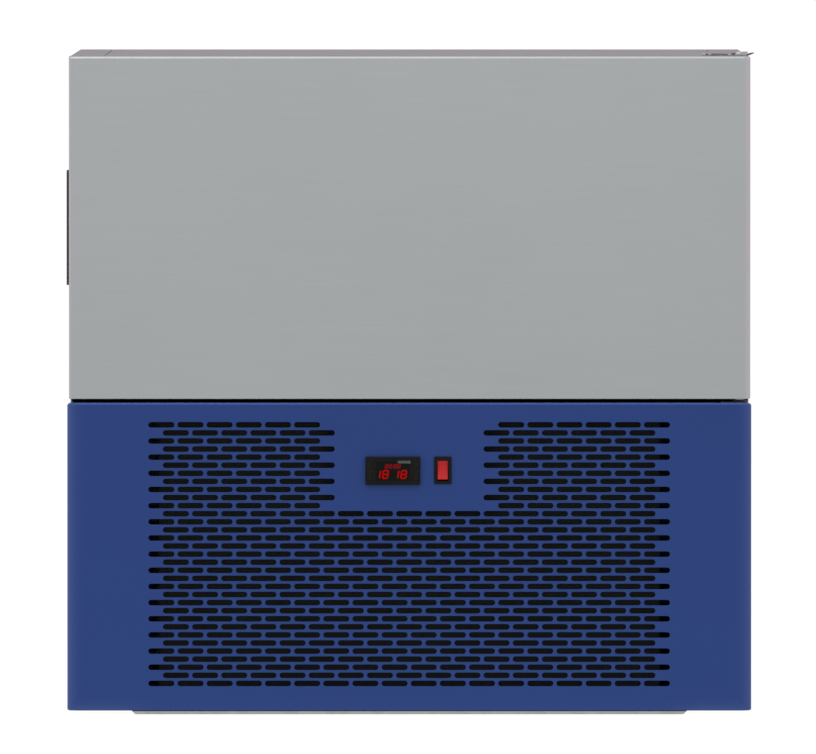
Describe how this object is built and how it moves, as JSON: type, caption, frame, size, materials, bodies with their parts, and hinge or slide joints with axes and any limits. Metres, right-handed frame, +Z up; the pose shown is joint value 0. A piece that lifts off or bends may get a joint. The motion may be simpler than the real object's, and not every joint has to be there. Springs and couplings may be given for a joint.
{
  "type": "blast chiller",
  "caption": "Compact counter-top blast chiller with a side-hung steel door, pan ledges inside, and a slotted blue fascia with controller and switch over the machine bay.",
  "frame": {"origin": "middle of the base, on the surface it stands on", "axes": "X to the right seen from the front, -Y the front, +Z up"},
  "size_m": [0.804, 0.8153, 0.7749],
  "materials": {
    "door_steel": null,
    "inner_steel": "satin stainless steel sheet inside the chamber",
    "zinc_sheet": "galvanised sheet, slightly warm grey",
    "hinge_steel": "zinc-plated and stainless hinge parts and screws",
    "blue_coat": "dark blue powder coat, satin",
    "black_plastic": "black moulded plastic, fine texture",
    "window_tint": "tinted display window, glossy",
    "red_plastic": "translucent red rocker, lit from inside",
    "white_plastic": "off-white plastic",
    "machine_black": "black painted steel",
    "fin_aluminium": "plain aluminium fins",
    "copper": "copper pipe, slightly tarnished",
    "foam": "rigid polyurethane foam, out of sight",
    "seal": "grey flexible magnetic seal",
    "filter_black": "black washable filter mat in its frame"
  },
  "bodies": {
    "cabinet": {"air_baffle": "inner_steel", "air_filter_frame": "filter_black", "air_filter_media": "filter_black", "base_pan": "zinc_sheet", "cabinet_foam": "foam", "cable_gland": "black_plastic", "capillary_tube": "copper", "chamber_liner": "inner_steel", "compressor": "machine_black", "condensate_tray": "white_plastic", "condenser_coil": "fin_aluminium", "condenser_fan_motor": "machine_black", "condenser_shroud": "machine_black", "controller_housing": "black_plastic", "controller_window": "window_tint", "discharge_pipe": "copper", "drain_tube": "white_plastic", "electrical_box": "black_plastic", "evaporator_coil": "fin_aluminium", "evaporator_fan_guard": "inner_steel", "evaporator_fan_motor": "machine_black", "evaporator_motor_bracket": "zinc_sheet", "fascia_screw_left": "hinge_steel", "fascia_screw_right": "hinge_steel", "filter_drier": "copper", "front_frame": "inner_steel", "front_panel": "blue_coat", "liquid_pipe": "copper", "lower_hinge_pin": "hinge_steel", "lower_hinge_plate": "hinge_steel", "mid_deck": "zinc_sheet", "power_switch_body": "black_plastic", "probe_holder": "inner_steel", "rear_lower_panel": "zinc_sheet", "rear_upper_panel": "zinc_sheet", "side_panel_left": "door_steel", "side_panel_right": "door_steel", "suction_pipe": "copper", "top_panel": "door_steel", "tray_guide_left": "inner_steel", "tray_guide_right": "inner_steel", "upper_hinge_pin": "hinge_steel", "upper_hinge_plate": "hinge_steel", "upper_hinge_screw_1": "hinge_steel", "upper_hinge_screw_2": "hinge_steel"},
    "door": {"door_skin": "door_steel", "door_foam": "foam", "door_inner_panel": "inner_steel", "door_gasket": "seal", "door_handle": "black_plastic", "upper_hinge_bush": "white_plastic", "lower_hinge_bush": "white_plastic"},
    "rocker": {"power_rocker": "red_plastic"},
    "evaporator_fan": {"evaporator_fan_rotor": "white_plastic"},
    "condenser_fan": {"condenser_fan_rotor": "machine_black"},
    "probe": {"core_probe": "black_plastic"},
    "key_1": {"controller_key_1": "black_plastic"},
    "key_2": {"controller_key_2": "black_plastic"},
    "key_3": {"controller_key_3": "black_plastic"},
    "key_4": {"controller_key_4": "black_plastic"}
  },
  "joints": [
    {"name": "door_hinge", "type": "hinge", "parent": "cabinet", "child": "door", "pos_m": [0.3854, -0.37, 0.569], "axis": [0, 0, 1], "range_deg": [0, 115]},
    {"name": "power_rocker_pivot", "type": "hinge", "parent": "cabinet", "child": "rocker", "pos_m": [0.03905, -0.396, 0.284], "axis": [1, 0, 0], "range_deg": [0, 21]},
    {"name": "evaporator_fan_spin", "type": "hinge", "parent": "cabinet", "child": "evaporator_fan", "pos_m": [0, 0.148, 0.57], "axis": [0, 1, 0], "continuous": true},
    {"name": "condenser_fan_spin", "type": "hinge", "parent": "cabinet", "child": "condenser_fan", "pos_m": [-0.065, -0.209, 0.177], "axis": [0, 1, 0], "continuous": true},
    {"name": "core_probe_lift", "type": "slide", "parent": "cabinet", "child": "probe", "axis": [0, 0, 1], "range_m": [0, 0.045]},
    {"name": "controller_key_1_press", "type": "slide", "parent": "cabinet", "child": "key_1", "axis": [0, 1, 0], "range_m": [0, 0.0006], "stiffness_N_per_m": 900},
    {"name": "controller_key_2_press", "type": "slide", "parent": "cabinet", "child": "key_2", "axis": [0, 1, 0], "range_m": [0, 0.0006], "stiffness_N_per_m": 900},
    {"name": "controller_key_3_press", "type": "slide", "parent": "cabinet", "child": "key_3", "axis": [0, 1, 0], "range_m": [0, 0.0006], "stiffness_N_per_m": 900},
    {"name": "controller_key_4_press", "type": "slide", "parent": "cabinet", "child": "key_4", "axis": [0, 1, 0], "range_m": [0, 0.0006], "stiffness_N_per_m": 900}
  ]
}
